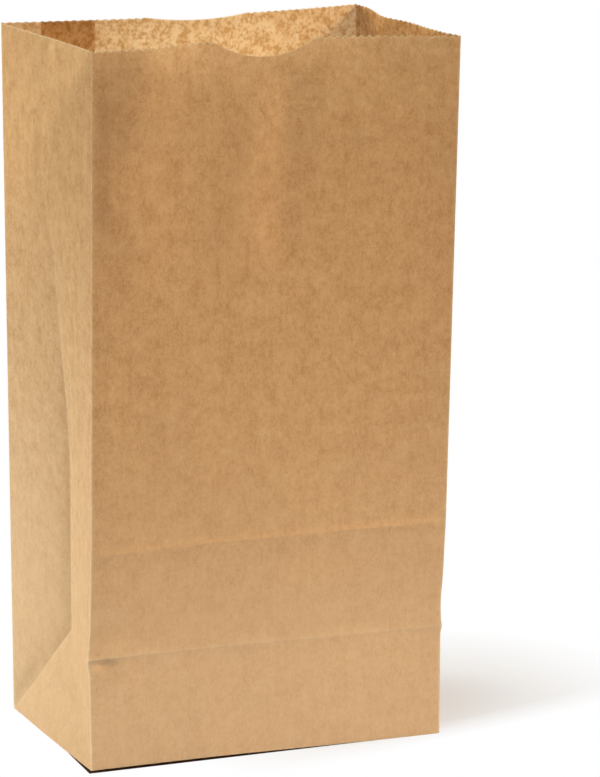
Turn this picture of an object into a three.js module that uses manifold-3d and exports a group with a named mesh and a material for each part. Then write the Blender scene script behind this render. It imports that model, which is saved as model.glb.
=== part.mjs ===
// Kraft paper bag, standing open: side gussets, folded block bottom, saw-cut mouth with a thumb notch.
// It is one sheet, pasted into a tube along a lap on the back panel and folded shut at the foot.
// Millimetres, +Z up. The origin is the middle of the base, on the surface that the bag stands on.
// The front panel faces -Y, the back panel +Y, and the gussets face -X and +X.

import * as THREE from 'three';
import { mergeVertices } from 'three/addons/utils/BufferGeometryUtils.js';
import Module from 'manifold-3d';

const { degToRad, lerp, smoothstep } = THREE.MathUtils;

// Bag and paper
const WIDTH = 152.4; // front and back panels
const DEPTH = 92; // gussets, front to back
const HEIGHT = 290; // base to the tips of the mouth's teeth
const PAPER = 0.15; // one ply of kraft

// Saw-cut mouth
const TOOTH_PITCH = 3.175;
const TOOTH_HEIGHT = 1;
const NOTCH_WIDTH = 44; // thumb notch in the front panel
const NOTCH_DEPTH = 7.2;
const NOTCH_OFFSET = -1.5; // its middle, from the middle of the panel
const DIP_WIDTH = 44; // shallow cut in the back panel, behind the notch
const DIP_DEPTH = 1.8;
const DIP_OFFSET = 3.3;
const LIP_BELOW_CUTS = 6; // uncut paper between the deepest cut and the panels' last row

// Pasted lap up the back panel, measured from the left-hand fold as seen from the front
const LAP_START = 15.5;
const LAP_WIDTH = 21.2;
const LAP_EDGE = 0.05; // run of a cut edge's step
const LAP_SETTLE = 4; // run over which the outer ply comes down past the lap

// Folded bottom
const FLAP_OVERLAP = 24; // how far the back flap laps over the front one

// The set that the folds leave in the paper once the bag is opened
const FRONT_CREASE_SET = 2; // front panel's fold, half a depth above the base
const BASE_MARK_SET = 0.4; // ridge pressed into the panels by the edge of the folded base
const GUSSET_TUCK = 9; // middle of a gusset, below where it opens out
const GUSSET_OPENS_FROM = 105; // height at which the tuck starts to fade
const GUSSET_OPEN_AT = 240; // height at which it has its size at the mouth
const LEFT_MOUTH_TUCK = 0.5;
const RIGHT_MOUTH_TUCK = 6;
const FRONT_BOW = 8; // middle of the front edge of the mouth, drawn in
const BACK_BOW = 9;
const BASE_DRAW = 0.95; // each base corner, drawn in by the folded bottom

// How the open bag stands
const MOUTH_LEAN = 4.9; // forward lean of the mouth
const MOUTH_TURN = -0.7; // degrees, panels at the mouth
const BASE_SKEW = 2.3; // degrees, gussets at the base
const MOUTH_SKEW = 4.9; // degrees, gussets at the mouth

// Facets: the foot rows and half a gusset's columns match, so the slanting fold runs through corners
const FACE_COLUMNS = 20;
const GUSSET_HALF_COLUMNS = 5;
const FOOT_ROWS = GUSSET_HALF_COLUMNS;
const BAND_ROWS = 3;
const WALL_ROWS = 14;

const KRAFT = new THREE.MeshStandardMaterial({
  name: 'kraft_paper',
  color: 0xc2945f,
  roughness: 0.9,
  metalness: 0,
  side: THREE.DoubleSide,
});

const halfDepth = DEPTH / 2;
const creaseHeight = halfDepth;
const markHeight = DEPTH;
const lipHeight = HEIGHT - Math.max(NOTCH_DEPTH, DIP_DEPTH, TOOTH_HEIGHT) - LIP_BELOW_CUTS;

const wasm = await Module();
wasm.setup();

// The bag's outline at one height: its middle, the run of its panels and of its gussets
function sectionAt(z) {
  const rise = z / HEIGHT;
  const turn = degToRad(MOUTH_TURN * rise);
  const skew = degToRad(lerp(BASE_SKEW, MOUTH_SKEW, rise));
  return {
    middle: new THREE.Vector3(0, -MOUTH_LEAN * rise, z),
    across: new THREE.Vector3(Math.cos(turn), Math.sin(turn), 0),
    back: new THREE.Vector3(-Math.sin(skew), Math.cos(skew), 0),
    halfWidth: WIDTH / 2 - BASE_DRAW * (1 - rise),
  };
}

// A fold line's inward set: a straight-sided valley with its floor at one height
function valley(z, foot, floor, head) {
  if (z <= foot || z >= head) return 0;
  return z < floor ? (z - foot) / (floor - foot) : (head - z) / (head - floor);
}

function frontSet(z) {
  return FRONT_CREASE_SET * valley(z, 0, creaseHeight, markHeight);
}

function baseMark(z) {
  const reach = (markHeight - creaseHeight) / BAND_ROWS;
  return BASE_MARK_SET * valley(z, markHeight - reach, markHeight, markHeight + reach);
}

// A point of the front (face -1) or back (face +1) panel, u running from -1 to 1 towards +X
function facePoint(face, u, z) {
  const section = sectionAt(z);
  const opened = Math.max(0, (z - creaseHeight) / (HEIGHT - creaseHeight));
  const bow = (face < 0 ? FRONT_BOW : BACK_BOW) * opened * (1 - u * u);
  const mark = baseMark(z) * (1 - u * u);
  const inset = bow - mark + (face < 0 ? frontSet(z) : 0);
  return section.middle
    .addScaledVector(section.across, u * section.halfWidth)
    .addScaledVector(section.back, face * (halfDepth - inset));
}

// Inward tuck of a gusset. Above the crease it folds in along its middle. Below, a slanting fold
// runs from there to the back corner of the base, and the paper in front of it leans in as one face.
function gussetTuck(side, v, z) {
  const mouthTuck = side < 0 ? LEFT_MOUTH_TUCK : RIGHT_MOUTH_TUCK;
  if (z >= creaseHeight) {
    const opened = smoothstep(z, GUSSET_OPENS_FROM, GUSSET_OPEN_AT);
    return lerp(GUSSET_TUCK, mouthTuck, opened) * (1 - Math.abs(v));
  }
  const climb = z / creaseHeight;
  const fold = 1 - climb;
  if (v > fold) return GUSSET_TUCK * (1 - v);
  return GUSSET_TUCK * Math.min(climb, 1 + v);
}

// A point of the left (side -1) or right (side +1) gusset, v running from -1 at the front to 1
function gussetPoint(side, v, z) {
  const section = sectionAt(z);
  const frontPull = frontSet(z) * Math.max(0, -v);
  return section.middle
    .addScaledVector(section.across, side * (section.halfWidth - gussetTuck(side, v, z)))
    .addScaledVector(section.back, v * halfDepth + frontPull);
}

// How far a round cut reaches below the mouth's line, at one distance from its middle
function roundCut(distance, width, depth) {
  const half = width / 2;
  if (Math.abs(distance) >= half) return 0;
  const radius = (half * half + depth * depth) / (2 * depth);
  return Math.sqrt(radius * radius - distance * distance) - (radius - depth);
}

function toothCount(width) {
  return Math.max(1, Math.round(width / TOOTH_PITCH));
}

// How far the cut edge lies below the teeth's tips, u running from -1 to 1 along a panel
function cutDepth(panel, u) {
  const phase = ((u + 1) / 2 * toothCount(panel.width)) % 1;
  const tooth = TOOTH_HEIGHT * Math.abs(1 - 2 * phase);
  return Math.max(tooth, panel.cut(u * panel.width / 2));
}

function evenColumns(count) {
  return Array.from({ length: count }, (_, i) => -1 + 2 * i / count);
}

// The back panel's columns run from its right-hand fold to its left, with the lap's edges among them
const lapFarEdge = LAP_START + LAP_WIDTH;
const lapColumns = [
  LAP_START,
  LAP_START + LAP_EDGE,
  lapFarEdge,
  lapFarEdge + LAP_EDGE,
  lapFarEdge + LAP_SETTLE,
].map((fromLeft) => 1 - 2 * fromLeft / WIDTH);

function backColumns() {
  const clear = 1 / FACE_COLUMNS / 2;
  const kept = evenColumns(FACE_COLUMNS).filter(
    (u) => lapColumns.every((lap) => Math.abs(u - lap) > clear),
  );
  return [...kept, ...lapColumns].sort((a, b) => a - b);
}

// Paper either side of the back panel's surface: two plies over the lap, one elsewhere. The outer
// ply rides up on the inner one, and comes down past the inner ply's cut edge.
function backPlies(u) {
  const fromLeft = (1 - u) / 2 * WIDTH;
  const onLap = LAP_START + LAP_EDGE / 2;
  const pastLap = lapFarEdge + LAP_EDGE / 2;
  const settled = lapFarEdge + LAP_SETTLE - LAP_EDGE;
  if (fromLeft < onLap || fromLeft > settled) return { outer: 0, inner: -PAPER };
  return fromLeft < pastLap ? { outer: PAPER, inner: -PAPER } : { outer: PAPER, inner: 0 };
}

const onePly = () => ({ outer: 0, inner: -PAPER });
const uncut = () => 0;
const thumbNotch = (x) => roundCut(x - NOTCH_OFFSET, NOTCH_WIDTH, NOTCH_DEPTH);
const backDip = (x) => roundCut(-x - DIP_OFFSET, DIP_WIDTH, DIP_DEPTH);

// The four panels in order round the tube, each with u running left to right as seen from outside
const panels = [
  {
    width: WIDTH,
    columns: evenColumns(FACE_COLUMNS),
    point: (u, z) => facePoint(-1, u, z),
    plies: onePly,
    cut: thumbNotch,
  },
  {
    width: DEPTH,
    columns: evenColumns(2 * GUSSET_HALF_COLUMNS),
    point: (u, z) => gussetPoint(1, u, z),
    plies: onePly,
    cut: uncut,
  },
  {
    width: WIDTH,
    columns: backColumns(),
    point: (u, z) => facePoint(1, -u, z),
    plies: backPlies,
    cut: backDip,
  },
  {
    width: DEPTH,
    columns: evenColumns(2 * GUSSET_HALF_COLUMNS),
    point: (u, z) => gussetPoint(-1, -u, z),
    plies: onePly,
    cut: uncut,
  },
];

function rowHeights() {
  const foot = Array.from({ length: FOOT_ROWS }, (_, i) => creaseHeight * i / FOOT_ROWS);
  const band = Array.from({ length: BAND_ROWS }, (_, i) => lerp(creaseHeight, markHeight, i / BAND_ROWS));
  const wall = Array.from({ length: WALL_ROWS + 1 }, (_, i) => lerp(markHeight, lipHeight, i / WALL_ROWS));
  return [...foot, ...band, ...wall];
}

// The tube's surface as points, the paper either side of each, and triangles facing outwards
function tubeSurface() {
  const surface = { points: [], plies: [], faces: [] };
  const rows = rowHeights();
  const columns = panels.flatMap((panel) => panel.columns.map((u) => ({ panel, u })));
  const addPoint = (panel, u, z) => {
    surface.plies.push(panel.plies(u));
    return surface.points.push(panel.point(u, z)) - 1;
  };
  const grid = columns.map(({ panel, u }) => rows.map((z) => addPoint(panel, u, z)));
  const mouth = columns.map(({ panel, u }) => addPoint(panel, u, HEIGHT - cutDepth(panel, u)));
  columns.forEach((column, i) => {
    const next = (i + 1) % columns.length;
    const endU = columns[next].panel === column.panel ? columns[next].u : 1;
    addWall(surface, grid[i], grid[next], column.u + endU < 0);
    addLip(surface, column, endU, [grid[i].at(-1), grid[next].at(-1), mouth[next], mouth[i]], addPoint);
  });
  return surface;
}

// One column of four-sided cells, split so that the splits rise towards the middle of the panel
function addWall(surface, left, right, risesRight) {
  for (let row = 0; row + 1 < left.length; row++) {
    const [a, b, c, d] = [left[row], right[row], right[row + 1], left[row + 1]];
    if (risesRight) surface.faces.push([a, b, c], [a, c, d]);
    else surface.faces.push([a, b, d], [b, c, d]);
  }
}

// The paper between the last row and the saw-cut edge, across one column
function addLip(surface, { panel, u }, endU, [lowLeft, lowRight, highRight, highLeft], addPoint) {
  const steps = 2 * toothCount(panel.width);
  const firstStep = Math.floor((u + 1) / 2 * steps + 0.01) + 1;
  const cornerAt = (atU, z) => new THREE.Vector2(atU * panel.width / 2, z);
  const edge = [{ index: highLeft, flat: cornerAt(u, HEIGHT - cutDepth(panel, u)) }];
  for (let step = firstStep; step + 0.01 < (endU + 1) / 2 * steps; step++) {
    const stepU = -1 + 2 * step / steps;
    const z = HEIGHT - cutDepth(panel, stepU);
    edge.push({ index: addPoint(panel, stepU, z), flat: cornerAt(stepU, z) });
  }
  const endDepth = endU === 1 ? TOOTH_HEIGHT : cutDepth(panel, endU);
  edge.push({ index: highRight, flat: cornerAt(endU, HEIGHT - endDepth) });
  const outline = [
    { index: lowLeft, flat: cornerAt(u, lipHeight) },
    { index: lowRight, flat: cornerAt(endU, lipHeight) },
    ...edge.reverse(),
  ];
  const triangles = THREE.ShapeUtils.triangulateShape(outline.map((corner) => corner.flat), []);
  for (const triangle of triangles) surface.faces.push(triangle.map((i) => outline[i].index));
}

// The direction at each point in which a step of one moves every face around it out by one
function mitreDirections({ points, faces }) {
  const sums = points.map(() => ({ square: new Array(9).fill(0), side: new THREE.Vector3() }));
  const normal = new THREE.Vector3();
  const triangle = new THREE.Triangle();
  for (const face of faces) {
    triangle.setFromPointsAndIndices(points, ...face).getNormal(normal);
    const n = normal.toArray();
    face.forEach((index, i) => {
      const toNext = points[face[(i + 1) % 3]].clone().sub(points[index]);
      const toLast = points[face[(i + 2) % 3]].clone().sub(points[index]);
      const angle = toNext.angleTo(toLast);
      const { square, side } = sums[index];
      square.forEach((_, k) => { square[k] += angle * n[Math.floor(k / 3)] * n[k % 3]; });
      side.addScaledVector(normal, angle);
    });
  }
  const steadying = 1e-3; // keeps a flat neighbourhood solvable
  return sums.map(({ square, side }, i) => {
    const matrix = new THREE.Matrix3().fromArray(square.map((v, k) => (k % 4 === 0 ? v + steadying : v)));
    side.applyMatrix3(matrix.invert());
    return points[i].z === 0 ? side.setZ(0) : side; // the foot stays level
  });
}

// A closed solid of paper on both sides of a surface, walled along the surface's open edges
function paperSolid(surface) {
  const directions = mitreDirections(surface);
  const count = surface.points.length;
  const layer = (key) => surface.points.map((p, i) => p.clone().addScaledVector(directions[i], surface.plies[i][key]));
  const corners = [...layer('outer'), ...layer('inner')];
  const faces = [];
  const openEdges = new Map();
  for (const [a, b, c] of surface.faces) {
    faces.push([a, b, c], [c + count, b + count, a + count]);
    for (const [from, to] of [[a, b], [b, c], [c, a]]) {
      if (!openEdges.delete(`${to} ${from}`)) openEdges.set(`${from} ${to}`, [from, to]);
    }
  }
  for (const [from, to] of openEdges.values()) {
    faces.push([to, from, from + count], [to, from + count, to + count]);
  }
  return solid(corners.flatMap((corner) => corner.toArray()), faces.flat());
}

function solid(positions, indices) {
  const mesh = new wasm.Mesh({
    numProp: 3,
    vertProperties: new Float32Array(positions),
    triVerts: new Uint32Array(indices),
  });
  return new wasm.Manifold(mesh);
}

// A flat ply of the folded bottom, from its outline seen from above
function bottomPly(outline, low, high) {
  const extruded = new THREE.ExtrudeGeometry(new THREE.Shape(outline), { depth: high - low, bevelEnabled: false });
  extruded.translate(0, 0, low);
  extruded.deleteAttribute('normal');
  extruded.deleteAttribute('uv');
  const merged = mergeVertices(extruded);
  return solid(merged.attributes.position.array, merged.index.array);
}

// A place on the base, a distance in from one of its long edges (face) and from one of its ends (side),
// within the thickness of the wall where both are nothing
function basePlace(side, face, fromEnd, fromEdge) {
  const { middle, across, back, halfWidth } = sectionAt(0);
  const inWall = PAPER / 2;
  middle.addScaledVector(across, side * (halfWidth - inWall - fromEnd));
  middle.addScaledVector(back, face * (halfDepth - inWall - fromEdge));
  return new THREE.Vector2(middle.x, middle.y);
}

// The bottom's plies: the ends folded in first, then the front flap, then the back flap over it.
// A flap's ends slant in at 45 degrees, and each ply reaches half into the one above it.
function foldedBottom() {
  const reach = halfDepth + FLAP_OVERLAP / 2;
  const flap = (face) => [
    basePlace(-1, face, 0, 0),
    basePlace(1, face, 0, 0),
    basePlace(1, face, reach, reach),
    basePlace(-1, face, reach, reach),
  ];
  const ends = [
    basePlace(-1, -1, 0, 0),
    basePlace(1, -1, 0, 0),
    basePlace(1, 1, 0, 0),
    basePlace(-1, 1, 0, 0),
  ];
  return bottomPly(ends, 2 * PAPER, 3 * PAPER)
    .add(bottomPly(flap(-1), PAPER, 2.5 * PAPER))
    .add(bottomPly(flap(1), 0, 2.5 * PAPER));
}

function bagGeometry() {
  const mesh = paperSolid(tubeSurface()).add(foldedBottom()).getMesh();
  const geometry = new THREE.BufferGeometry();
  geometry.setAttribute('position', new THREE.BufferAttribute(new Float32Array(mesh.vertProperties), 3));
  geometry.setIndex(new THREE.BufferAttribute(new Uint32Array(mesh.triVerts), 1));
  geometry.computeVertexNormals();
  return geometry;
}

const paperBag = new THREE.Mesh(bagGeometry(), KRAFT);
paperBag.name = 'paper_bag';

const bag = new THREE.Group();
bag.add(paperBag);

export default bag;
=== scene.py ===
"""Kraft paper bag, standing open, with its finish and a plain studio stage.

The bag is made as the real one is. A flat sheet is cut with its saw-toothed mouth and thumb notch,
wrapped into a gusseted tube with a pasted lap up the back, and folded shut into a flat bottom.
Metres, +Z up. The front panel faces -Y and the gussets face -X and +X.
"""

import math
from collections import namedtuple

import bmesh
import bpy
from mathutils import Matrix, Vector, noise


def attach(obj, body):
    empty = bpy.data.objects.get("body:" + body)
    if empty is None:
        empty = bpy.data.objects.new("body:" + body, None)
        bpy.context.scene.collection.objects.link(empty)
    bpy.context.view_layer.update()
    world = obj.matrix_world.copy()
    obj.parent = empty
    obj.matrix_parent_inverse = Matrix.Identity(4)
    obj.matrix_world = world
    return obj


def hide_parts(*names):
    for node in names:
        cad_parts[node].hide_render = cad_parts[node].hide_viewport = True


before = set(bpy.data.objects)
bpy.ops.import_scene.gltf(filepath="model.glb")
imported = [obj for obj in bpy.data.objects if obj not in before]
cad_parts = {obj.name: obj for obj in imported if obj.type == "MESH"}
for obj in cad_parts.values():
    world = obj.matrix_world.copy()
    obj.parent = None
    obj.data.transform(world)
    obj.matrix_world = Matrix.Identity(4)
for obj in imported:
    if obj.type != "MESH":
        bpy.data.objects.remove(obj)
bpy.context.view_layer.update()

bl_info = {
    "name": "Kraft Paper Bag",
    "version": (1, 0, 0),
    "blender": (4, 5, 0),
    "location": "3D View > Sidebar > Paper Bag",
    "description": "Folds a sheet of kraft paper into a standing bag, and lights it on a white floor",
    "category": "Object",
}

MM = 0.001
WHITE = (1, 1, 1, 1)


def linear(hex_colour):
    """An sRGB hex colour as linear red, green and blue."""
    def channel(text):
        value = int(text, 16) / 255
        return value / 12.92 if value <= 0.04045 else ((value + 0.055) / 1.055) ** 2.4
    return tuple(channel(hex_colour[i:i + 2]) for i in (1, 3, 5))


def length(name, description, millimetres):
    """A size that a user may change."""
    return bpy.props.FloatProperty(
        name=name, description=description, default=millimetres * MM, unit="LENGTH", precision=5)


def angle(name, description, degrees):
    """An angle that a user may change."""
    return bpy.props.FloatProperty(
        name=name, description=description, default=math.radians(degrees), subtype="ANGLE")


def colour(name, description, hex_colour):
    """A colour that a user may change."""
    return bpy.props.FloatVectorProperty(
        name=name, description=description, default=linear(hex_colour), subtype="COLOR", size=3, min=0, max=1)


def power(name, description, watts):
    """A lamp's power, which a user may change."""
    return bpy.props.FloatProperty(name=name, description=description, default=watts, unit="POWER")


class PaperBagSizes(bpy.types.PropertyGroup):
    """The sheet as it is cut, and how the opened bag stands."""

    # Bag and paper
    width: length("Width", "Front and back panels", 152.4)
    depth: length("Depth", "Gussets, front to back", 92)
    height: length("Height", "Base to the tips of the teeth", 290)
    paper: length("Paper", "Thickness of one ply", 0.15)
    flap_reach: length("Flap Reach", "Part of the sheet that folds under to make the bottom", 57)
    lap_start: length("Lap Start", "Outer ply's free edge, from the left fold of the back panel", 15.5)
    lap_width: length("Lap Width", "Pasted lap up the back panel", 21.2)

    # Saw-cut mouth
    tooth_pitch: length("Tooth Pitch", "Spacing of the teeth along the mouth", 3.175)
    tooth_height: length("Tooth Height", "Height of the front panel's teeth", 1)
    worn_tooth: length("Worn Tooth", "Height of the other teeth, which are pressed flatter", 0.45)
    notch_width: length("Notch Width", "Thumb notch in the front panel", 44)
    notch_depth: length("Notch Depth", "Depth of the thumb notch", 7.2)
    notch_offset: length("Notch Offset", "Middle of the notch from the middle of the panel", -1.5)
    dip_width: length("Dip Width", "Shallow smooth cut in the back panel", 44)
    dip_depth: length("Dip Depth", "Depth of that cut", 1.8)
    dip_offset: length("Dip Offset", "Middle of that cut from the middle of the panel", 3.3)

    # The set that the folds leave in the opened paper
    front_crease: length("Front Crease", "Front panel's fold, half a depth above the base", 2)
    crease_ridge: length("Crease Ridge", "Ridge along that fold", 0.38)
    base_mark: length("Base Mark", "Ridge that the folded base pressed into the front panel", 0.9)
    mark_left: length("Mark Left", "Height of that ridge at the panel's left fold", 88.8)
    mark_right: length("Mark Right", "Height of that ridge at the panel's right fold", 90.8)
    gusset_tuck: length("Gusset Tuck", "Middle of a gusset, folded in", 9)
    tuck_fades_from: length("Tuck Fades From", "Height at which a gusset starts to open out", 105)
    tuck_faded_at: length("Tuck Faded At", "Height at which it has its shape at the mouth", 240)
    left_mouth_tuck: length("Left Mouth Tuck", "Left gusset at the mouth", 0.5)
    right_mouth_tuck: length("Right Mouth Tuck", "Right gusset at the mouth", 2.3)
    front_bow: length("Front Bow", "Middle of the front panel at the mouth, drawn in", 8)
    back_bow: length("Back Bow", "Middle of the back panel at the mouth, drawn in", 9)

    # How the open bag stands
    base_draw: length("Base Draw", "Each base corner, drawn in by the folded bottom", 0.95)
    mouth_lean: length("Mouth Lean", "Forward lean of the mouth", 4.9)
    corner_lift: length("Corner Lift", "Front left corner of the base, off the floor", 1.3)
    mouth_lift: length("Mouth Lift", "Front left corner of the mouth, above the others", 1.9)
    front_lift: length("Front Lift", "Middle of the front panel's cut edge, above its ends", 0.9)
    mouth_turn: angle("Mouth Turn", "Turn of the panels at the mouth", -0.7)
    base_skew: angle("Base Skew", "Skew of the gussets at the base", 2.3)
    mouth_skew: angle("Mouth Skew", "Skew of the gussets at the mouth", 4.9)


class PaperBagColours(bpy.types.PropertyGroup):
    """Colours of unbleached kraft: what each side sends back, and what comes through it."""

    pulp: colour("Pulp", "Light sent back by the smooth side", "#dbae7a")
    thick_pulp: colour("Thick Pulp", "Smooth side, darker clumps of fibre", "#ce9f6b")
    thin_pulp: colour("Thin Pulp", "Smooth side, where the fibres lie thinly", "#e7bd89")
    rough_pulp: colour("Rough Pulp", "Light sent back by the rough side", "#ce9b5a")
    thick_rough_pulp: colour("Thick Rough Pulp", "Rough side, darker clumps of fibre", "#c18a4a")
    thin_rough_pulp: colour("Thin Rough Pulp", "Rough side, where the fibres lie thinly", "#daaa68")
    through: colour("Through", "Light let through", "#f6e7ca")
    thick_through: colour("Thick Through", "Light let through clumps of fibre", "#e2c699")
    thin_through: colour("Thin Through", "Light let through where the fibres lie thinly", "#fff7e2")
    shive: colour("Shive", "Dark specks of uncooked wood", "#8d6238")
    # Paler paper along the folds: partly burnished, partly a painted highlight
    pressed_fold_and_highlight: colour("Pressed Fold", "Burnished paper along a fold", "#e6cda4")
    cut_edge: colour("Cut Edge", "Torn fibres along a cut", "#efd9b0")


class StageLook(bpy.types.PropertyGroup):
    """Floor and light."""

    floor: colour("Floor", "White studio floor", "#f4f4f4")
    # Painted shadow: a dark floor colour under the bag, where the gap under its lifted edge shows
    gap: colour("Gap", "Floor under the bag, where it shows", "#5a4032")
    floor_size: bpy.props.FloatProperty(
        name="Floor Size", description="Side of the floor", default=40, unit="LENGTH")
    warm: colour("Warm", "Tint of the lamp before the bag", "#fff3e3")
    pale: colour("Pale", "Tint of the lamp behind the left corner", "#fffde6")
    cool: colour("Cool", "Tint of the low cards and of the one in the mouth", "#b0d5ff")
    key: power("Key", "Soft box above the bag, on the left", 4.2)
    fill: power("Fill", "Soft box before the bag, on the right", 3.85)
    side: power("Side", "Soft box behind the bag's left corner", 6.1)
    front_card: power("Front Card", "Low card before the bag", 0.2)
    left_card: power("Left Card", "Low card left of the bag", 0.54)
    back_card: power("Back Card", "Card behind the bag, so that its paper glows", 0.25)
    mouth_card: power("Mouth Card", "Card inside the mouth, which lights the back of it", 0.011)
    sky: bpy.props.FloatProperty(
        name="Sky", description="Even white light from all round", default=0.1, min=0)


# Small sums

def mix(low, high, share):
    """A value part of the way from low to high."""
    return low + (high - low) * share


def smooth(value, start, end):
    """0 before start, 1 after end, and an even S between."""
    share = min(1, max(0, (value - start) / (end - start)))
    return share * share * (3 - 2 * share)


def valley(value, start, floor, end):
    """0 outside start and end, and straight sides down to 1 at floor."""
    if value <= start or value >= end:
        return 0
    return (value - start) / (floor - start) if value < floor else (end - value) / (end - floor)


def bump(value, middle, reach):
    """1 at the middle, fading smoothly."""
    return math.exp(-((value - middle) / reach) ** 2)


def softer_least(a, b, blend):
    """The lesser of two values, rounded where they cross."""
    gap = max(blend - abs(a - b), 0) / blend
    return min(a, b) - gap * gap * blend / 4


# Handling marks on each panel as seen from outside: a line from start to end, in mm from the panel's
# left fold and above the base, with its half width and its depth, which is negative where it stands out
Dent = namedtuple("Dent", "start end reach depth")

FRONT_DENTS = (
    Dent((26, 296), (19, 268), 16, -2.4),
    Dent((26, 296), (10, 228), 11, -1.6),
    Dent((40, 297), (112, 297), 19, 2.4),
    Dent((71, 260), (60, 214), 8, -1),
    Dent((85, 268), (80, 212), 8, 1.2),
    Dent((24, 228), (18, 198), 11, -1.2),
    Dent((4, 176), (46, 192), 6, -0.5),
    Dent((58, 196), (74, 210), 5, -0.3),
    Dent((34, 160), (48, 110), 14, -0.4),
    Dent((2.5, 42.8), (7.5, 43.8), 2.4, 1.9),
    Dent((24.5, 46), (23.5, 31), 1.6, 0.22),
    Dent((62.5, 40), (61, 8), 5, 0.25),
)
LEFT_DENTS = (
    Dent((44, 246), (47, 240), 10, -0.4),
    Dent((48, 186), (38, 238), 3, 0.5),
    Dent((38, 241), (46, 282), 3, 0.4),
    Dent((70, 296), (64, 262), 14, 0.3),
    Dent((37, 292), (34, 262), 5, -0.35),
    Dent((56, 285), (52, 240), 4, -0.35),
    Dent((32, 258), (30, 236), 8, -0.3),
    Dent((5, 8), (20, 23.5), 3.2, 0.7),
    Dent((12, 6), (26, 30), 6, 0.3),
    Dent((60, 8), (56, 26), 6, -0.3),
)
RIGHT_DENTS = (
    Dent((56, 296), (52, 250), 11, 2.9),
    Dent((22, 296), (30, 260), 7, 0.5),
)
BACK_DENTS = (
    Dent((60, 250), (80, 180), 14, 0.6),
    Dent((110, 220), (100, 150), 12, -0.5),
)


def dented(dents, along, up):
    """Inward depth of a panel's handling marks at one place."""
    place = Vector((along, up)) / MM
    total = 0
    for dent in dents:
        start, end = Vector(dent.start), Vector(dent.end)
        run = end - start
        share = min(1, max(0, (place - start).dot(run) / run.length_squared))
        total += dent.depth * bump((place - start - run * share).length, 0, dent.reach)
    return total * MM


# Soft waves in the paper: their height and their lengths across and up, in mm, and where their noise starts
Wave = namedtuple("Wave", "height across up seed")

FRONT_WAVES = (Wave(0.5, 38, 75, 1.3), Wave(0.16, 13, 24, 4.1))
BACK_WAVES = (Wave(0.5, 42, 80, 7.7), Wave(0.16, 15, 26, 2.9))
GUSSET_WAVE = Wave(0.2, 26, 60, 9.1)
GUSSET_STREAKS = Wave(0.15, 7, 85, 5.5)
STREAKS_COME_IN = (120 * MM, 210 * MM)  # heights between which the gussets' streaks appear

# Folds and the foot hold the paper straight: marks and waves fade out this near to them
PANEL_FOLD_HOLDS = 7 * MM
GUSSET_FOLD_HOLDS = 6 * MM
FOOT_HOLDS = 40 * MM


def rippled(wave, along, up, side=0):
    """Height of a wave at one place. The two gussets have their own noise."""
    place = Vector((along / MM / wave.across, up / MM / wave.up, wave.seed + side))
    return wave.height * MM * noise.noise(place)


# The opened bag's shape

def section(bag, z):
    """The bag at one height: its middle, the run of its panels and of its gussets, and half its width."""
    rise = z / bag.height
    turn = bag.mouth_turn * rise
    skew = mix(bag.base_skew, bag.mouth_skew, rise)
    middle = Vector((0, -bag.mouth_lean * rise, z))
    across = Vector((math.cos(turn), math.sin(turn), 0))
    back = Vector((-math.sin(skew), math.cos(skew), 0))
    return middle, across, back, bag.width / 2 - bag.base_draw * (1 - rise)


def front_set(bag, z):
    """How far the front panel's fold draws the paper in."""
    return bag.front_crease * valley(z, 0, bag.depth / 2, bag.depth)


# How far the faces of the front panel's pressed ridges reach above and below their lines
RIDGE_ABOVE = 2.8 * MM
MARK_BELOW = 9 * MM
CREASE_BELOW = 3.5 * MM


def fold_ridge(z, line, below):
    """The ridge of a pressed fold across a panel: a short steep face above its line, a long one below."""
    return valley(z, line - below, line, line + RIDGE_ABOVE) ** 2


def panel_point(bag, face, u, z, ply=0):
    """A point of the front (face -1) or back (face 1) panel, with u from -1 to 1 towards +X."""
    middle, across, back, half_width = section(bag, z)
    crease = bag.depth / 2
    opened = max(0, (z - crease) / (bag.height - crease))
    inside = 1 - u * u
    from_left = (1 - face * u) / 2 * bag.width
    near_fold = smooth(min(from_left, bag.width - from_left), 0, PANEL_FOLD_HOLDS)
    if face < 0:
        inset = bag.front_bow * opened * inside + front_set(bag, z)
        mark = mix(bag.mark_left, bag.mark_right, from_left / bag.width)
        inset -= bag.base_mark * fold_ridge(z, mark, MARK_BELOW) * near_fold
        inset -= bag.crease_ridge * fold_ridge(z, crease, CREASE_BELOW) * near_fold
        marks = dented(FRONT_DENTS, from_left, z)
        waves = FRONT_WAVES
    else:
        inset = bag.back_bow * opened * inside
        marks = dented(BACK_DENTS, from_left, z)
        waves = BACK_WAVES
    ripple = sum(rippled(wave, from_left, z) for wave in waves)
    inset += (marks + ripple * smooth(z, 0, FOOT_HOLDS)) * near_fold
    return middle + across * (u * half_width) + back * (face * (bag.depth / 2 - inset + ply))


BEHIND_FOLD_TUCK = 0.75  # share of its tuck that a gusset keeps well behind the slanting fold
BEHIND_FOLD_FADE = 7 * MM
SLANT_ROUNDING = 0.3  # how softly the paper turns down before the slanting fold, as a share of the climb
LEAST_ROUNDING = 0.001  # keeps that above nothing at the base
RIGHT_HELD_BACK = (0.8, 0.4)  # places across the right gusset between which its mouth starts to be drawn in
RIGHT_HELD_FRONT = (-1, -0.75)


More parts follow.
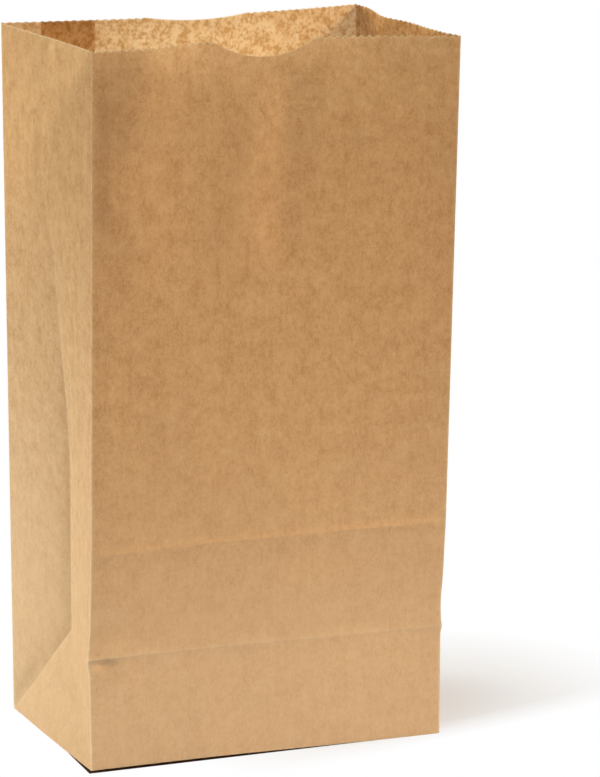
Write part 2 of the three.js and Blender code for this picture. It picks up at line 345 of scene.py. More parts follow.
def gusset_tuck(bag, side, v, z):
    """Inward tuck of a gusset, with v from -1 at the front to 1. Above the crease it folds in along its
    middle. Below, a slanting fold runs from there to the back corner of the base."""
    crease = bag.depth / 2
    climb = min(1, z / crease)
    if v > 1 - climb:
        behind_fold = (v - 1 + climb) * bag.depth / 2
        tuck = bag.gusset_tuck * (1 - v)
        tuck *= mix(BEHIND_FOLD_TUCK, 1, math.exp(-behind_fold / BEHIND_FOLD_FADE))
    elif z >= crease:
        tuck = bag.gusset_tuck * (1 + v)
    else:
        rounding = SLANT_ROUNDING * climb + LEAST_ROUNDING
        tuck = bag.gusset_tuck * max(0, softer_least(climb, 1 + v, rounding))
    opened = smooth(z, bag.tuck_fades_from, bag.tuck_faded_at)
    if side < 0:
        return tuck * mix(1, bag.left_mouth_tuck / bag.gusset_tuck, opened)
    held_in = smooth(v, *RIGHT_HELD_BACK) * smooth(v, *RIGHT_HELD_FRONT)
    return mix(tuck, bag.right_mouth_tuck * held_in, opened)


def gusset_point(bag, side, v, z):
    """A point of the left (side -1) or right (side 1) gusset."""
    middle, across, back, half_width = section(bag, z)
    from_left = (1 + side * v) / 2 * bag.depth
    near_fold = smooth(min(from_left, bag.depth - from_left), 0, GUSSET_FOLD_HOLDS)
    marks = dented(LEFT_DENTS if side < 0 else RIGHT_DENTS, from_left, z)
    streaks = rippled(GUSSET_STREAKS, from_left, z, side) * smooth(z, *STREAKS_COME_IN)
    ripple = rippled(GUSSET_WAVE, from_left, z, side) * smooth(z, 0, FOOT_HOLDS)
    tuck = gusset_tuck(bag, side, v, z) + (marks + streaks + ripple) * near_fold
    pull = front_set(bag, z) * max(0, -v)
    return middle + across * (side * (half_width - tuck)) + back * (v * bag.depth / 2 + pull)


# Where the crease crosses a front fold, the fold is pushed out: how far, and how far below and above
Pinch = namedtuple("Pinch", "out below above")

LEFT_SIDEWAYS = Pinch(1.3 * MM, 8 * MM, 11 * MM)
LEFT_FORWARD = Pinch(1.9 * MM, 2.4 * MM, 9 * MM)
RIGHT_SIDEWAYS = Pinch(0.5 * MM, 3 * MM, 3 * MM)
RIGHT_FORWARD = Pinch(0.5 * MM, 3.5 * MM, 9 * MM)

# The right front fold is drawn in a little above the crease
WAIST = 0.4 * MM
WAIST_ABOVE = 11 * MM
WAIST_REACH = 7 * MM

# How far these shifts spread from the folds, as shares of the bag's width and depth
LEFT_FOLD_SPREAD = (0.12, 0.12)
RIGHT_FOLD_SPREAD = (0.06, 0.1)
CORNER_LIFT_SPREAD = 0.75


def pinched(bag, pinch, z):
    """How far out a front fold is pushed at one height."""
    crease = bag.depth / 2
    return pinch.out * valley(z, crease - pinch.below, crease, crease + pinch.above)


def settled(bag, point):
    """Small shifts of the whole sheet: the front left corner stands a little high, and the front folds
    are pinched out where the crease crosses them."""
    x, y, z = point
    left = min(1, max(0, 0.5 - x / bag.width))
    front = min(1, max(0, 0.5 - y / bag.depth))
    rise = z / bag.height
    corner_lift = bag.corner_lift * front * smooth(left, 0, CORNER_LIFT_SPREAD)
    lift = mix(corner_lift, bag.mouth_lift * left, rise) * front
    lift += bag.front_lift * rise * 4 * left * (1 - left) * front * front
    left_fold = bump(left, 1, LEFT_FOLD_SPREAD[0]) * bump(front, 1, LEFT_FOLD_SPREAD[1])
    right_fold = bump(left, 0, RIGHT_FOLD_SPREAD[0]) * bump(front, 1, RIGHT_FOLD_SPREAD[1])
    waist = WAIST * bump(z, bag.depth / 2 + WAIST_ABOVE, WAIST_REACH)
    x -= pinched(bag, LEFT_SIDEWAYS, z) * left_fold
    x += (pinched(bag, RIGHT_SIDEWAYS, z) - waist) * right_fold
    y -= pinched(bag, LEFT_FORWARD, z) * left_fold + pinched(bag, RIGHT_FORWARD, z) * right_fold
    return Vector((x, y, z + lift))


# The flat sheet: strips from fold to fold, in order round the tube, starting at the lap's inner free edge

Strip = namedtuple("Strip", "name start end columns")


def sheet_strips(bag):
    """Each strip's panel coordinate at both ends, and its columns at half a tooth each."""
    def columns(run):
        return round(run / (bag.tooth_pitch / 2))
    from_left = 2 / bag.width
    lap_inner = bag.lap_start + bag.lap_width
    return (
        Strip("lap", -1 + lap_inner * from_left, -1, columns(lap_inner)),
        Strip("left", 1, -1, columns(bag.depth)),
        Strip("front", -1, 1, columns(bag.width)),
        Strip("right", -1, 1, columns(bag.depth)),
        Strip("back", 1, -1 + bag.lap_start * from_left, columns(bag.width - bag.lap_start)),
    )


Column = namedtuple("Column", "strip at girth")


def sheet_columns(bag):
    """Every column of the sheet: its strip, its place in that panel and the length round the sheet so far."""
    found = []
    girth = 0
    for strip in sheet_strips(bag):
        half = bag.depth / 2 if strip.name in ("left", "right") else bag.width / 2
        step = abs(strip.end - strip.start) * half / strip.columns
        first = 1 if found else 0
        for i in range(first, strip.columns + 1):
            at = mix(strip.start, strip.end, i / strip.columns)
            found.append(Column(strip.name, at, girth + i * step))
        girth += strip.columns * step
    return found


# Rows above the crease: close ones along it, a band of them, more over the base's mark, the wall and the lip
CREASE_ROWS = (0, 0.6 * MM, 1.3 * MM)
BAND_START = 2.6 * MM
BAND_ROWS = 14
MARK_ROWS = 12
MARK_MARGINS = (3 * MM, 4 * MM)
WALL_ROWS = 38
LIP_ROWS = 4
LIP_MARGIN = 6 * MM  # paper between the wall's last row and the notch


def foot_rows(bag):
    """Rows from the base line to the crease, as many as half a gusset has columns."""
    return round(bag.depth / (bag.tooth_pitch / 2)) // 2


def sheet_rows(bag):
    """Lengths up the sheet from the base line, flap below it, as far as the uncut lip. The foot's rows
    are half a tooth apart, as the columns are, so that slanting folds run through corners."""
    crease = bag.depth / 2
    pitch = crease / foot_rows(bag)
    flap_rows = round(bag.flap_reach / pitch)
    lip = bag.height - bag.notch_depth - LIP_MARGIN
    rows = [-pitch * i for i in range(flap_rows, 0, -1)]
    rows += [pitch * i for i in range(foot_rows(bag))]
    rows += [crease + step for step in CREASE_ROWS]
    mark_start = bag.mark_left - MARK_MARGINS[0]
    mark_end = bag.mark_right + MARK_MARGINS[1]
    rows += [mix(crease + BAND_START, mark_start, i / BAND_ROWS) for i in range(BAND_ROWS)]
    rows += [mix(mark_start, mark_end, i / MARK_ROWS) for i in range(MARK_ROWS)]
    rows += [mix(mark_end, lip, i / WALL_ROWS) for i in range(WALL_ROWS + 1)]
    return rows


def round_cut(distance, width, depth):
    """Depth of a round cut, at one distance from its middle."""
    half = width / 2
    if abs(distance) >= half:
        return 0
    radius = (half * half + depth * depth) / (2 * depth)
    return math.sqrt(radius * radius - distance * distance) - (radius - depth)


def mouth_height(bag, column, index):
    """Height of the cut edge: teeth, except in the front's thumb notch and the back's dip."""
    place = column.at * bag.width / 2
    cut = 0
    tooth = bag.worn_tooth
    if column.strip == "front":
        cut = round_cut(place - bag.notch_offset, bag.notch_width, bag.notch_depth)
        tooth = bag.tooth_height
    elif column.strip == "back":
        cut = round_cut(place - bag.dip_offset, bag.dip_width, bag.dip_depth)
    if cut:
        return bag.height - cut
    return bag.height - tooth * (index % 2 == 0)


# Plies of the folded bottom from the floor up, the last folded first, and how many steps each lies up
PLY_LEVELS = {
    "back flap": 0.5,
    "lap flap": 1.5,
    "front flap": 2.5,
    "lap corner": 3.5,
    "back corner": 4.5,
    "front corner": 5.5,
    "left end": 6.5,
    "right end": 6.5,
}
PLY_STEP = 1.07  # height of a step, in plies
PLY_SETTLES_IN = 4.8 * MM  # past the base line, a ply is at its own level after this
FOLD_TOLERANCE = 0.1 * MM
LAP_STEP = (0.5 * MM, 4 * MM)  # past the lap, between these, the outer ply comes down to the panel


def bottom_point(bag, column, reach):
    """A point of the sheet past the base line. The ends fold in first, the corners fold over at 45
    degrees, and the front flap and then the back flap close over them."""
    middle, across, back, half_width = section(bag, 0)
    drawn = half_width / (bag.width / 2)
    if column.strip in ("left", "right"):
        side = -1 if column.strip == "left" else 1
        along = side * (half_width - reach * drawn)
        from_front = column.at * bag.depth / 2
        ply = column.strip + " end"
    else:
        side = -1 if column.at < 0 else 1
        face = -1 if column.strip == "front" else 1
        from_corner = (1 - abs(column.at)) * bag.width / 2
        over = from_corner < reach - FOLD_TOLERANCE
        along = side * (half_width - (reach if over else from_corner) * drawn)
        from_front = face * (bag.depth / 2 - (from_corner if over else reach))
        ply = column.strip + (" corner" if over else " flap")
    floor_level = PLY_LEVELS["back flap"]
    level = mix(floor_level, PLY_LEVELS[ply], min(1, reach / PLY_SETTLES_IN))
    height = Vector((0, 0, level * PLY_STEP * bag.paper))
    return middle + across * along + back * from_front + height


def wall_point(bag, column, z):
    """A point of the tube. On the lap the outer ply rides on the inner one."""
    foot = Vector((0, 0, PLY_LEVELS["back flap"] * PLY_STEP * bag.paper * (1 - z / bag.height)))
    if column.strip == "left":
        return gusset_point(bag, -1, column.at, z) + foot
    if column.strip == "right":
        return gusset_point(bag, 1, column.at, z) + foot
    if column.strip == "front":
        return panel_point(bag, -1, column.at, z) + foot
    ply = 0
    if column.strip == "back":
        from_left = (1 + column.at) / 2 * bag.width
        past_lap = from_left - bag.lap_start - bag.lap_width
        ply = PLY_STEP * bag.paper * (1 - smooth(past_lap, *LAP_STEP))
    return panel_point(bag, 1, column.at, z, ply) + foot


# Modelling helpers

def deselect_all():
    """Leaves edit mode and empties the selection."""
    if bpy.context.object and bpy.context.object.mode != "OBJECT":
        bpy.ops.object.mode_set(mode="OBJECT")
    bpy.ops.object.select_all(action="DESELECT")


def apply_modifier(piece, kind, **settings):
    """Adds one modifier with its settings, and applies it."""
    modifier = piece.modifiers.new(kind.title(), kind)
    for name, value in settings.items():
        setattr(modifier, name, value)
    bpy.context.view_layer.objects.active = piece
    bpy.ops.object.modifier_apply(modifier=modifier.name)


def cut_sheet(bag, columns, rows):
    """The flat sheet: a grid with a vertex at each column and row, its mouth cut to its teeth."""
    deselect_all()
    across = len(columns) - 1
    up = len(rows) + LIP_ROWS - 1
    bpy.ops.mesh.primitive_grid_add(x_subdivisions=across, y_subdivisions=up, size=1)
    sheet = bpy.context.object
    sheet.name = sheet.data.name = "paper_bag_sheet"
    for vertex in sheet.data.vertices:
        i = round((vertex.co.x + 0.5) * across)
        j = round((vertex.co.y + 0.5) * up)
        run = rows[min(j, len(rows) - 1)]
        if j >= len(rows):
            run = mix(run, mouth_height(bag, columns[i], i), (j - len(rows) + 1) / LIP_ROWS)
        vertex.co = (columns[i].girth, run, 0)
    return sheet


def lay_flat_map(sheet):
    """The sheet's own map: metres along and up the flat sheet, so the grain runs on round every fold."""
    flat = sheet.data.uv_layers.active
    flat.name = "flat_sheet"
    for loop in sheet.data.loops:
        flat.uv[loop.index].vector = sheet.data.vertices[loop.vertex_index].co.xy


def fold_sheet(bag, sheet, columns, rows):
    """Moves every point of the flat sheet to its place in the folded bag, and creases the folds."""
    mesh = bmesh.new()
    mesh.from_mesh(sheet.data)
    mesh.verts.ensure_lookup_table()
    # how pale each fold is painted: burnished paper and a painted highlight
    fold_wear = mesh.verts.layers.float.new("fold_wear")
    cut_fibres = mesh.verts.layers.float.new("cut_fibres")
    across = len(columns)
    up = len(mesh.verts) // across
    grid = [[mesh.verts[j * across + i] for i in range(across)] for j in range(up)]
    base = next(j for j, run in enumerate(rows) if run >= 0)
    for j, line in enumerate(grid):
        for i, vertex in enumerate(line):
            column = columns[i]
            run = vertex.co.y
            point = bottom_point(bag, column, -run) if j < base else wall_point(bag, column, run)
            vertex.co = settled(bag, point)
    for vertex in grid[-1]:
        vertex[cut_fibres] = 1
    crease_folds(bag, mesh, grid, columns, base, fold_wear)
    for face in mesh.faces:
        face.smooth = True
    mesh.to_mesh(sheet.data)
    mesh.free()


# How pale each fold is painted, from 0 to 1: partly burnished paper, partly a painted highlight along the
# fold
TUBE_PALING = 1
GUSSET_PALING = 0.8
SLANT_PALING = 0.7
BASE_PALING = 0.5
CREASE_PALING = 0.75
FLAP_PALING = 0.8
OPENED_ROWS = 12  # rows below the lip in which a gusset's middle fold has opened out


def crease_folds(bag, mesh, grid, columns, base, fold_wear):
    """Splits the faces that a slanting fold crosses, and makes every fold's edges sharp and paler: partly
    burnished paper, partly a painted highlight.
    """
    foot = foot_rows(bag)
    crease = base + foot
    starts = {}
    for i, column in enumerate(columns):
        starts.setdefault(column.strip, i)
    left, front, right, back = (starts[name] - 1 for name in ("left", "front", "right", "back"))
    last = len(columns) - 1
    top = len(grid) - 1

    def crease_line(line, fold_paling):
        for (i, j), (next_i, next_j) in zip(line, line[1:]):
            a, b = grid[j][i], grid[next_j][next_i]
            edge = mesh.edges.get((a, b))
            if edge is None:
                shared = [f for f in a.link_faces if b in f.verts]
                bmesh.utils.face_split(shared[0], a, b)
                edge = mesh.edges.get((a, b))
            edge.smooth = False
            a[fold_wear] = max(a[fold_wear], fold_paling)
            b[fold_wear] = max(b[fold_wear], fold_paling)

    for fold in (left, front, right, back):
        crease_line([(fold, j) for j in range(top + 1)], TUBE_PALING)
    for fold in (left + foot, right + foot):
        crease_line([(fold, j) for j in range(crease, top - LIP_ROWS - OPENED_ROWS)], GUSSET_PALING)
    crease_line([(left + k, base + k) for k in range(foot + 1)], SLANT_PALING)
    crease_line([(back - k, base + k) for k in range(foot + 1)], SLANT_PALING)
    crease_line([(i, base) for i in range(last + 1)], BASE_PALING)
    crease_line([(i, crease) for i in range(front, right + 1)], CREASE_PALING)
    for corner, step, limit in ((left, -1, 0), (front, 1, right), (right, -1, front), (back, 1, last)):
        reach = min(base, abs(limit - corner))
        crease_line([(corner + step * k, base - k) for k in range(reach + 1)], FLAP_PALING)


# Materials

def add_node(material, kind, inputs=None, **settings):
    """Adds a node. An input is a value, or the socket that feeds it."""
    node = material.node_tree.nodes.new(kind)
    for name, value in settings.items():
        setattr(node, name, value)
    for name, value in (inputs or {}).items():
        if isinstance(value, bpy.types.NodeSocket):
            material.node_tree.links.new(value, node.inputs[name])
        else:
            node.inputs[name].default_value = value
    return node


def new_material(name):
    """A material with no nodes yet."""
    material = bpy.data.materials.new(name)
    material.use_nodes = True
    material.node_tree.nodes.clear()
    return material


def rgba(colour_value, share=1):
    """A colour, or a share of it, as a node takes it."""
    return (*(channel * share for channel in colour_value), 1)


# How the pulp shows on a side of the sheet: the size of its largest clouds, how often they break up into
# clumps, the weight of clouds and of fibres in its colours, and the share of its light that comes through
Side = namedtuple("Side", "cloud clumps cloud_weight fibre_weight through")

SMOOTH_SIDE = Side(cloud=8 * MM, clumps=4, cloud_weight=1.2, fibre_weight=0.35, through=0.35)
ROUGH_SIDE = Side(cloud=4.5 * MM, clumps=2.5, cloud_weight=2.3, fibre_weight=0.25, through=0.6)

# Sizes in the pulp
CLOUD_SHAPE = 0.8  # width of a cloud, as a share of its length up the sheet
FIBRE_WIDTH = 0.5 * MM  # real fibres are 0.03 mm wide: drawn coarse enough to show in the render
FIBRE_LENGTH = 2 * MM
FIBRE_TURN = 0.12  # radians off the grain
STREAK_WIDTH = 2.4 * MM
STREAK_LENGTH = 60 * MM
STREAK_WEIGHT = 0.15
SHIVE_SPACING = 5.5 * MM
SHIVE_SIZE = 0.35 * MM
PRESSED_FOOT = (60 * MM, 160 * MM)  # heights between which the pressed foot's smoother face gives way
PRESSED_GRAIN = 0.5  # share of the grain that shows at the foot
FIBRE_RELIEF = 0.08 * MM


def paper_material(name):
    """A material, and the places on the flat sheet for its patterns, in metres. The grain runs up the bag."""
    material = new_material(name)
    flat = add_node(material, "ShaderNodeUVMap", uv_map="flat_sheet").outputs["UV"]
    return material, flat


def pulp_clouds(material, flat, side):
    """Clouds of fibre that break up into clumps."""
    place = add_node(material, "ShaderNodeMapping", {
        "Vector": flat, "Scale": (1 / side.cloud, CLOUD_SHAPE / side.cloud, 1)})
    cloud = add_node(material, "ShaderNodeTexNoise", {
        "Vector": place.outputs["Vector"], "Scale": 1, "Detail": side.clumps, "Roughness": 1})
    return cloud.outputs["Fac"]


def pulp_fibres(material, flat):
    """Single fibres, laid along the grain."""
    place = add_node(material, "ShaderNodeMapping", {
        "Vector": flat, "Scale": (1 / FIBRE_WIDTH, 1 / FIBRE_LENGTH, 1), "Rotation": (0, 0, FIBRE_TURN)})
    fibre = add_node(material, "ShaderNodeTexNoise", {
        "Vector": place.outputs["Vector"], "Scale": 1, "Detail": 1.5, "Distortion": 0.9})
    return fibre.outputs["Fac"]


def machine_streaks(material, flat):
    """Faint lines that the paper machine leaves up the sheet."""
    place = add_node(material, "ShaderNodeMapping", {
        "Vector": flat, "Scale": (1 / STREAK_WIDTH, 1 / STREAK_LENGTH, 1)})
    streak = add_node(material, "ShaderNodeTexNoise", {
        "Vector": place.outputs["Vector"], "Scale": 1, "Detail": 2})
    return streak.outputs["Fac"]


def pulp_shives(material, flat):
    """Specks of uncooked wood, fading from 1 at their middle."""
    shive = add_node(material, "ShaderNodeTexVoronoi", {
        "Vector": flat, "Scale": 1 / SHIVE_SPACING, "Randomness": 1})
    mask = add_node(material, "ShaderNodeMapRange", {
        "Value": shive.outputs["Distance"],
        "From Min": 0, "From Max": SHIVE_SIZE / SHIVE_SPACING, "To Min": 1, "To Max": 0})
    return mask.outputs["Result"]


def weigh(material, parts):
    """A weighted sum of patterns, each taken about its middle, as a value about a half."""
    total = None
    for pattern, weight in parts:
        inputs = {0: pattern, 1: weight, 2: 0.5 - weight / 2 if total is None else total}
        if total is not None:
            centred = add_node(material, "ShaderNodeMath", {0: pattern, 1: 0.5}, operation="SUBTRACT")
            inputs[0] = centred.outputs[0]
        total = add_node(material, "ShaderNodeMath", inputs, operation="MULTIPLY_ADD").outputs[0]
    return total


THICK_AT = 0.28  # weights at which the pulp's colours reach their ends
THIN_AT = 0.72


def spread_colours(material, weight, thick, middle, thin):
    """Colours laid over a weight about a half."""
    spread = add_node(material, "ShaderNodeValToRGB", {"Fac": weight})
    ramp = spread.color_ramp.elements
    ramp[0].position = THICK_AT
    ramp[0].color = rgba(thick)
    ramp[1].position = THIN_AT
    ramp[1].color = rgba(thin)
    ramp.new(0.5).color = rgba(middle)
    return spread.outputs["Color"]


PALING_FROM = 0.45  # least paling that shows, and the most that a fold pales, for burnished paper and a painted highlight
MOST_PALING = 0.7
TORN_FROM = (0.8, 0.95)  # where the torn fibres of a cut begin, and the most that they pale
MOST_TORN = 0.8


def thin_paper(material, colours, sent_back, let_through, relief, share):
    """A matt face of thin paper. Light comes through it too. Folds are paler, partly burnished paper and
    partly a painted highlight, and cuts are paler.
    """
    fold_paling = add_node(material, "ShaderNodeAttribute", attribute_name="fold_wear")
    # painted highlight and burnish: paler colour along the folds
    paling_share = add_node(material, "ShaderNodeMapRange", {
        "Value": fold_paling.outputs["Fac"], "From Min": PALING_FROM, "From Max": 1, "To Min": 0, "To Max": MOST_PALING})
    paled_fold = add_node(material, "ShaderNodeMix", {
        "Factor": paling_share.outputs["Result"], "A": sent_back, "B": rgba(colours.pressed_fold_and_highlight)},
        data_type="RGBA")
    cut = add_node(material, "ShaderNodeAttribute", attribute_name="cut_fibres")
    torn = add_node(material, "ShaderNodeMapRange", {
        "Value": cut.outputs["Fac"],
        "From Min": TORN_FROM[0], "From Max": TORN_FROM[1], "To Min": 0, "To Max": MOST_TORN})
    edged = add_node(material, "ShaderNodeMix", {
        "Factor": torn.outputs["Result"], "A": paled_fold.outputs["Result"], "B": rgba(colours.cut_edge)},
        data_type="RGBA")
    raised = add_node(material, "ShaderNodeBump", {
        "Height": relief, "Strength": 0.35, "Distance": FIBRE_RELIEF})
    face = add_node(material, "ShaderNodeBsdfPrincipled", {
        "Base Color": edged.outputs["Result"], "Roughness": 0.86, "IOR": 1.5, "Specular IOR Level": 0.25,
        "Normal": raised.outputs["Normal"]})
    glow = add_node(material, "ShaderNodeBsdfTranslucent", {"Color": let_through})
    both = add_node(material, "ShaderNodeMixShader", {
        0: share, 1: face.outputs["BSDF"], 2: glow.outputs["BSDF"]})
    add_node(material, "ShaderNodeOutputMaterial", {"Surface": both.outputs["Shader"]})


def kraft_smooth_side(colours):
    """Unbleached kraft, uncoated and machine finished, outside the bag: matt brown pulp with soft clumps,
    faint machine streaks and a few dark specks, smoother at the foot, which was folded and pressed."""
    material, flat = paper_material("unbleached_kraft_smooth_side")
    grainy = weigh(material, (
        (pulp_clouds(material, flat, SMOOTH_SIDE), SMOOTH_SIDE.cloud_weight),
        (pulp_fibres(material, flat), SMOOTH_SIDE.fibre_weight),
        (machine_streaks(material, flat), STREAK_WEIGHT),
    ))
    up_sheet = add_node(material, "ShaderNodeSeparateXYZ", {"Vector": flat})
    grain = add_node(material, "ShaderNodeMapRange", {
        "Value": up_sheet.outputs["Y"], "From Min": PRESSED_FOOT[0], "From Max": PRESSED_FOOT[1],
        "To Min": PRESSED_GRAIN, "To Max": 1})
    weight = add_node(material, "ShaderNodeMix", {
        "Factor": grain.outputs["Result"], "A": 0.5, "B": grainy}).outputs["Result"]
    clumped = spread_colours(material, weight, colours.thick_pulp, colours.pulp, colours.thin_pulp)
    specked = add_node(material, "ShaderNodeMix", {
        "Factor": pulp_shives(material, flat), "A": clumped, "B": rgba(colours.shive)}, data_type="RGBA")
    lit = spread_colours(material, weight, colours.thick_through, colours.through, colours.thin_through)
    thin_paper(material, colours, specked.outputs["Result"], lit, weight, SMOOTH_SIDE.through)
    return material


def kraft_rough_side(colours):
    """The wire side of the same sheet, inside the bag: browner and coarser. Where the fibres lie thinly
    more light comes through, so the inside glows mottled."""
    material, flat = paper_material("unbleached_kraft_rough_side")
    weight = weigh(material, (
        (pulp_clouds(material, flat, ROUGH_SIDE), ROUGH_SIDE.cloud_weight),
        (pulp_fibres(material, flat), ROUGH_SIDE.fibre_weight),
    ))
    clumped = spread_colours(
        material, weight, colours.thick_rough_pulp, colours.rough_pulp, colours.thin_rough_pulp)
    lit = spread_colours(material, weight, colours.thick_through, colours.through, colours.thin_through)
    thin_paper(material, colours, clumped, lit, weight, ROUGH_SIDE.through)
    return material


def kraft_cut_edge(colours):
    """The cut edge of the sheet: torn fibres, paler and rougher than the faces."""
    material, flat = paper_material("kraft_cut_edge")
    torn = add_node(material, "ShaderNodeMix", {
        "Factor": pulp_fibres(material, flat), "A": rgba(colours.cut_edge), "B": rgba(colours.pulp)},
        data_type="RGBA")
    face = add_node(material, "ShaderNodeBsdfPrincipled", {
        "Base Color": torn.outputs["Result"], "Roughness": 0.95, "Specular IOR Level": 0.2})
    add_node(material, "ShaderNodeOutputMaterial", {"Surface": face.outputs["BSDF"]})
    return material


# Where the floor shows the bag's shadow: an oval of painted shade, over the real shadow, that fades to plain
# white at its rim, cut along its front
SHADOW_MIDDLE = (0.0774, -0.0043, 0)
SHADOW_TURN = (0, 0, math.radians(15))
SHADOW_SHAPE = (0.115, 0.1045, 1)
SHADOW_FRONT = (-0.46, -0.28)  # shares of the oval's half depth between which it begins
SHADOW_GLOW = 0.12
FLOOR_IN_SHADOW = 0.65  # share of its colour that the floor shows in the shadow, and that lights the bag
FLOOR_TO_LIGHT = 0.5
PAINTED_SHADOW_UNDER_BAG = (0.074, 0.0455, 1)  # half sizes of the patch of painted shadow under the bag, which shows in the gap under its lifted edge


def studio_floor(look):
    """White studio sweep, so bright that it photographs white, with a soft grey shadow by the bag, partly
    real and partly painted shade, and a painted dark shadow under it. Only the camera and reflections see it
    so: to all other light it is plain and matt."""
    material = new_material("white_studio_sweep")
    path = add_node(material, "ShaderNodeLightPath")
    seen = add_node(material, "ShaderNodeMath", {
        0: path.outputs["Is Camera Ray"], 1: path.outputs["Is Glossy Ray"]}, operation="MAXIMUM")
    matt = add_node(material, "ShaderNodeBsdfDiffuse", {"Color": rgba(look.floor, FLOOR_TO_LIGHT)})
    shaded = add_node(material, "ShaderNodeBsdfDiffuse", {"Color": rgba(look.floor, FLOOR_IN_SHADOW)})
    glow = add_node(material, "ShaderNodeEmission", {"Color": WHITE, "Strength": SHADOW_GLOW})
    # painted shadow: the floor under the bag, dark to the camera and in reflections
    dark = add_node(material, "ShaderNodeBsdfDiffuse", {"Color": rgba(look.gap)})
    under = add_node(material, "ShaderNodeMixShader", {
        0: seen.outputs[0], 1: matt.outputs[0], 2: dark.outputs[0]})
    # painted shade: in the oval the floor shows dimmer than white, over the real shadow
    near = add_node(material, "ShaderNodeAddShader", {0: shaded.outputs[0], 1: glow.outputs[0]})
    white = add_node(material, "ShaderNodeEmission", {"Color": WHITE, "Strength": 1})
    place = add_node(material, "ShaderNodeTexCoord").outputs["Object"]
    apart = add_node(material, "ShaderNodeMapping", {
        "Vector": place, "Location": SHADOW_MIDDLE, "Rotation": SHADOW_TURN, "Scale": SHADOW_SHAPE},
        vector_type="TEXTURE")
    distance = add_node(material, "ShaderNodeVectorMath", {0: apart.outputs["Vector"]}, operation="LENGTH")
    within = add_node(material, "ShaderNodeMapRange", {
        "Value": distance.outputs["Value"], "To Min": 1, "To Max": 0})
    across = add_node(material, "ShaderNodeSeparateXYZ", {"Vector": apart.outputs["Vector"]})
    behind = add_node(material, "ShaderNodeMapRange", {
        "Value": across.outputs["Y"], "From Min": SHADOW_FRONT[0], "From Max": SHADOW_FRONT[1]})
    shade = add_node(material, "ShaderNodeMath", {
        0: within.outputs["Result"], 1: behind.outputs["Result"]}, operation="MULTIPLY")
    sweep = add_node(material, "ShaderNodeMixShader", {
        0: shade.outputs[0], 1: white.outputs[0], 2: near.outputs[0]})
    share = add_node(material, "ShaderNodeVectorMath", {0: place, 1: PAINTED_SHADOW_UNDER_BAG}, operation="DIVIDE")
    size = add_node(material, "ShaderNodeVectorMath", {0: share.outputs["Vector"]}, operation="ABSOLUTE")
    sides = add_node(material, "ShaderNodeSeparateXYZ", {"Vector": size.outputs["Vector"]})
    reach = add_node(material, "ShaderNodeMath", {
        0: sides.outputs["X"], 1: sides.outputs["Y"]}, operation="MAXIMUM")
    outside = add_node(material, "ShaderNodeMath", {0: reach.outputs[0], 1: 1}, operation="GREATER_THAN")
    bright = add_node(material, "ShaderNodeMath", {
        0: seen.outputs[0], 1: outside.outputs[0]}, operation="MULTIPLY")
    both = add_node(material, "ShaderNodeMixShader", {
        0: bright.outputs[0], 1: under.outputs[0], 2: sweep.outputs[0]})
    add_node(material, "ShaderNodeOutputMaterial", {"Surface": both.outputs["Shader"]})
    return material


# Lights and camera

# Soft boxes and lit cards: where each hangs, what it faces, its width and height, its tint in the stage's
# look, white where there is none, and how far its light spreads, in degrees
Lamp = namedtuple("Lamp", "name place aim size tint spread", defaults=(None, 180))

LAMPS = (
    Lamp("key", (-0.3, -0.15, 1.35), (0, 0, 0.1), (0.5, 0.5)),
    Lamp("fill", (1, -0.85, 0.95), (0.1, -0.22, 0), (0.45, 0.45), "warm", 66),
    Lamp("side", (-1.4, 0.9, 0.45), (-0.075, 0, -0.25), (1, 0.7), "pale", 80),
    Lamp("front_card", (0.04, -0.146, 0.014), (0.04, 0, 0.014), (0.45, 0.028), "cool"),
    Lamp("left_card", (-0.25, 0.09, 0.035), (-0.075, 0, 0.035), (0.3, 0.06), "cool"),
    Lamp("back_card", (0, 0.25, 0.22), (0, 0, 0.22), (0.2, 0.2), spread=90),
    Lamp("mouth_card", (0.002, -0.03, 0.252), (0.002, 0.046, 0.276), (0.09, 0.03), "cool", 60),
)

# The photograph's view, with its focal length and the middle of its perspective in pixels of its frame
PHOTO_WIDTH = 600
PHOTO_HEIGHT = 777
FOCAL_PIXELS = 4252.5
MIDDLE_X = 225
MIDDLE_Y = 395
SENSOR_MM = 36
CAMERA_PLACE = (-0.57629, -1.57870, 0.55270)
CAMERA_DOWN = 13.83  # degrees below level
CAMERA_RIGHT = 20.06  # degrees to the right of the bag's depth


# Operators

SMOOTH_BELOW = 28  # degrees between faces that are shaded as one


class OBJECT_OT_fold_paper_bag(bpy.types.Operator):
    """Cut a sheet of kraft paper and fold it into the standing bag"""

    bl_idname = "object.fold_paper_bag"
    bl_label = "Fold Paper Bag"
    bl_options = {"REGISTER", "UNDO"}

    def execute(self, context):
        bag = context.scene.paper_bag
        colours = context.scene.paper_bag_colours
        columns, rows = sheet_columns(bag), sheet_rows(bag)
        sheet = cut_sheet(bag, columns, rows)
        lay_flat_map(sheet)
        fold_sheet(bag, sheet, columns, rows)
        for material in (kraft_smooth_side(colours), kraft_rough_side(colours), kraft_cut_edge(colours)):
            sheet.data.materials.append(material)
        apply_modifier(sheet, "SOLIDIFY", thickness=bag.paper, offset=0, use_even_offset=False,
                       material_offset=1, material_offset_rim=2)
        bpy.ops.object.shade_smooth_by_angle(angle=math.radians(SMOOTH_BELOW), keep_sharp_edges=True)
        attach(sheet, "root")
        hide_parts("paper_bag")
        return {"FINISHED"}


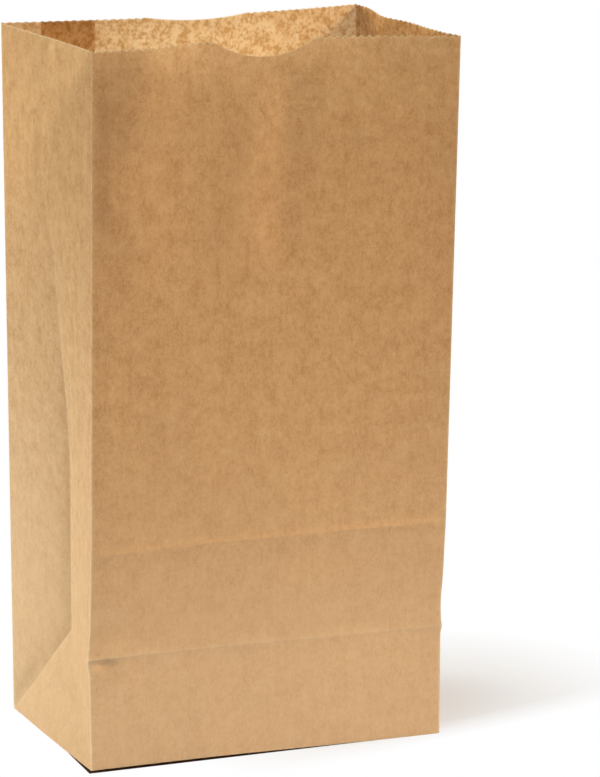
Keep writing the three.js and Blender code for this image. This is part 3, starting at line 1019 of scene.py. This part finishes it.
class OBJECT_OT_set_bag_stage(bpy.types.Operator):
    """Lay a white floor, hang the soft light and set the camera at the photograph's angle"""

    bl_idname = "object.set_bag_stage"
    bl_label = "Set Stage"
    bl_options = {"REGISTER", "UNDO"}

    def execute(self, context):
        look = context.scene.bag_stage
        self.lay_floor(look)
        self.light_sky(context.scene, look)
        for lamp in LAMPS:
            self.hang_lamp(look, lamp)
        self.set_camera(context.scene)
        context.scene.view_settings.view_transform = "Standard"
        return {"FINISHED"}

    def lay_floor(self, look):
        """A white floor under the bag."""
        deselect_all()
        bpy.ops.mesh.primitive_plane_add(size=look.floor_size)
        floor = bpy.context.object
        floor.name = floor.data.name = "studio_floor"
        floor.data.materials.append(studio_floor(look))

    def light_sky(self, scene, look):
        """Even white light, and a white background to the camera and in reflections."""
        scene.world = bpy.data.worlds.new("white_studio")
        scene.world.use_nodes = True
        scene.world.node_tree.nodes.clear()
        path = add_node(scene.world, "ShaderNodeLightPath")
        seen = add_node(scene.world, "ShaderNodeMath", {
            0: path.outputs["Is Camera Ray"], 1: path.outputs["Is Glossy Ray"]}, operation="MAXIMUM")
        light = add_node(scene.world, "ShaderNodeBackground", {"Color": WHITE, "Strength": look.sky})
        white = add_node(scene.world, "ShaderNodeBackground", {"Color": WHITE, "Strength": 1})
        both = add_node(scene.world, "ShaderNodeMixShader", {
            0: seen.outputs[0], 1: light.outputs[0], 2: white.outputs[0]})
        add_node(scene.world, "ShaderNodeOutputWorld", {"Surface": both.outputs[0]})

    def hang_lamp(self, look, lamp):
        """A soft box or lit card, facing what it is aimed at. Only its light shows."""
        deselect_all()
        bpy.ops.object.light_add(type="AREA", location=lamp.place)
        light = bpy.context.object
        light.name = light.data.name = lamp.name
        from_aim = Vector(lamp.place) - Vector(lamp.aim)
        light.rotation_euler = from_aim.to_track_quat("Z", "Y").to_euler()
        light.data.shape = "RECTANGLE"
        light.data.size, light.data.size_y = lamp.size
        light.data.energy = getattr(look, lamp.name)
        if lamp.tint:
            light.data.color = getattr(look, lamp.tint)
        light.data.spread = math.radians(lamp.spread)
        light.visible_camera = False

    def set_camera(self, scene):
        """The photograph's view. The frame is taller than wide, so its height spans the sensor."""
        data = bpy.data.cameras.new("photo_camera")
        data.sensor_width = SENSOR_MM
        data.lens = FOCAL_PIXELS * SENSOR_MM / PHOTO_HEIGHT
        data.shift_x = (PHOTO_WIDTH / 2 - MIDDLE_X) / PHOTO_HEIGHT
        data.shift_y = (MIDDLE_Y - PHOTO_HEIGHT / 2) / PHOTO_HEIGHT
        camera = bpy.data.objects.new("photo_camera", data)
        camera.location = CAMERA_PLACE
        camera.rotation_euler = (math.radians(90 - CAMERA_DOWN), 0, math.radians(-CAMERA_RIGHT))
        scene.collection.objects.link(camera)
        scene.camera = camera


class VIEW3D_PT_paper_bag(bpy.types.Panel):
    """Sizes, colours and steps of the paper bag"""

    bl_label = "Paper Bag"
    bl_space_type = "VIEW_3D"
    bl_region_type = "UI"
    bl_category = "Paper Bag"

    def draw(self, context):
        layout = self.layout
        layout.operator("object.fold_paper_bag")
        layout.operator("object.set_bag_stage")
        for group in (context.scene.paper_bag, context.scene.paper_bag_colours, context.scene.bag_stage):
            box = layout.box()
            for name in group.__annotations__:
                box.prop(group, name)


CLASSES = (
    PaperBagSizes,
    PaperBagColours,
    StageLook,
    OBJECT_OT_fold_paper_bag,
    OBJECT_OT_set_bag_stage,
    VIEW3D_PT_paper_bag,
)


def register():
    for each in CLASSES:
        bpy.utils.register_class(each)
    bpy.types.Scene.paper_bag = bpy.props.PointerProperty(type=PaperBagSizes)
    bpy.types.Scene.paper_bag_colours = bpy.props.PointerProperty(type=PaperBagColours)
    bpy.types.Scene.bag_stage = bpy.props.PointerProperty(type=StageLook)


def unregister():
    del bpy.types.Scene.bag_stage
    del bpy.types.Scene.paper_bag_colours
    del bpy.types.Scene.paper_bag
    for each in reversed(CLASSES):
        bpy.utils.unregister_class(each)


def main():
    register()
    bpy.ops.object.fold_paper_bag()
    bpy.ops.object.set_bag_stage()


if __name__ == "__main__":
    main()
